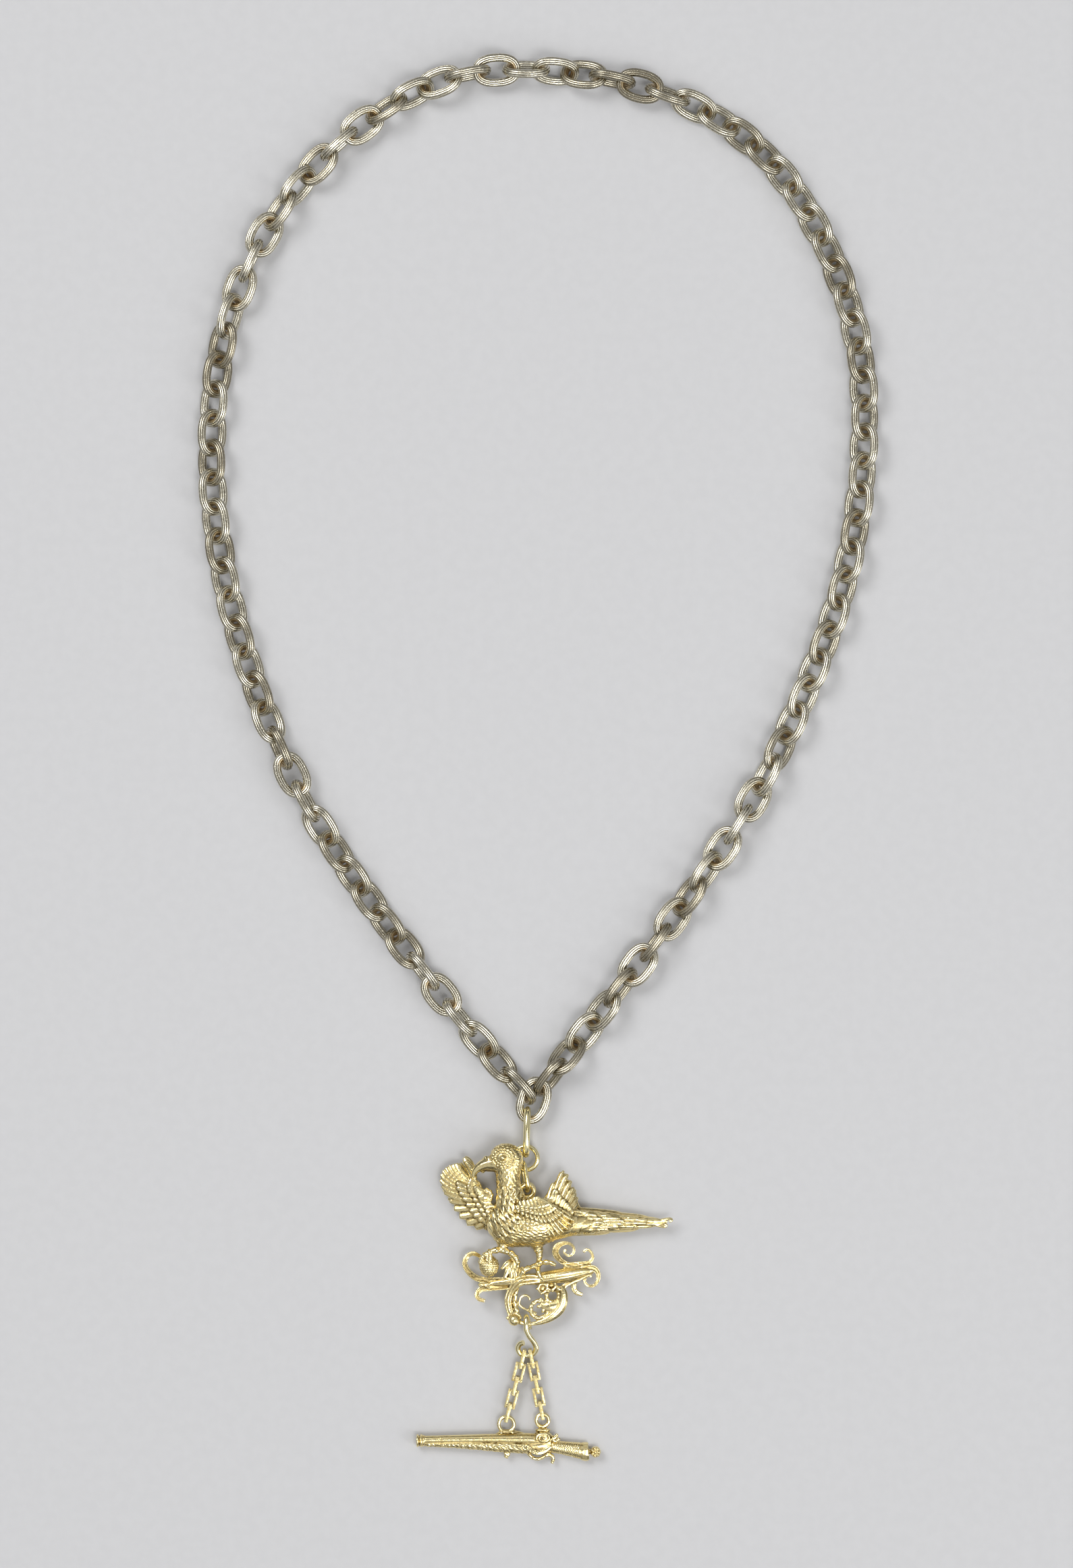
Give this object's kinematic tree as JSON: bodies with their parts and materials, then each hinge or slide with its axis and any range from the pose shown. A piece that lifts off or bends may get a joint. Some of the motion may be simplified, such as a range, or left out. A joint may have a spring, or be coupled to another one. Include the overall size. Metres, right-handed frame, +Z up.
{
  "type": "guild chain with parrot pendant and musket drop",
  "caption": "Ceremonial neck chain of fluted oval links, with a gilt parrot on a scrolled branch and a small musket hung below it on fine chains.",
  "frame": {"origin": "middle of the whole jewel's box, on the surface that it lies on", "axes": "+Z up off the surface, +Y from the pendant towards the nape, +X across the loop"},
  "size_m": [0.201, 0.417, 0.0125],
  "materials": {
    "silver": "old silver, worn bright on the ridges and tarnished brown in the grooves",
    "gilt_silver": "polished pale gilding, brown in the hollows"
  },
  "bodies": {
    "root": {"chain_left": "silver", "chain_right": "silver", "bail_ring": "gilt_silver", "head_ring": "gilt_silver", "back_ring": "gilt_silver", "parrot": "gilt_silver", "perch": "gilt_silver", "s_hook": "gilt_silver", "drop_left_1": "gilt_silver", "drop_left_2": "gilt_silver", "drop_left_3": "gilt_silver", "drop_left_4": "gilt_silver", "drop_left_5": "gilt_silver", "drop_right_1": "gilt_silver", "drop_right_2": "gilt_silver", "drop_right_3": "gilt_silver", "drop_right_4": "gilt_silver", "drop_right_5": "gilt_silver", "musket": "gilt_silver"}
  },
  "joints": []
}
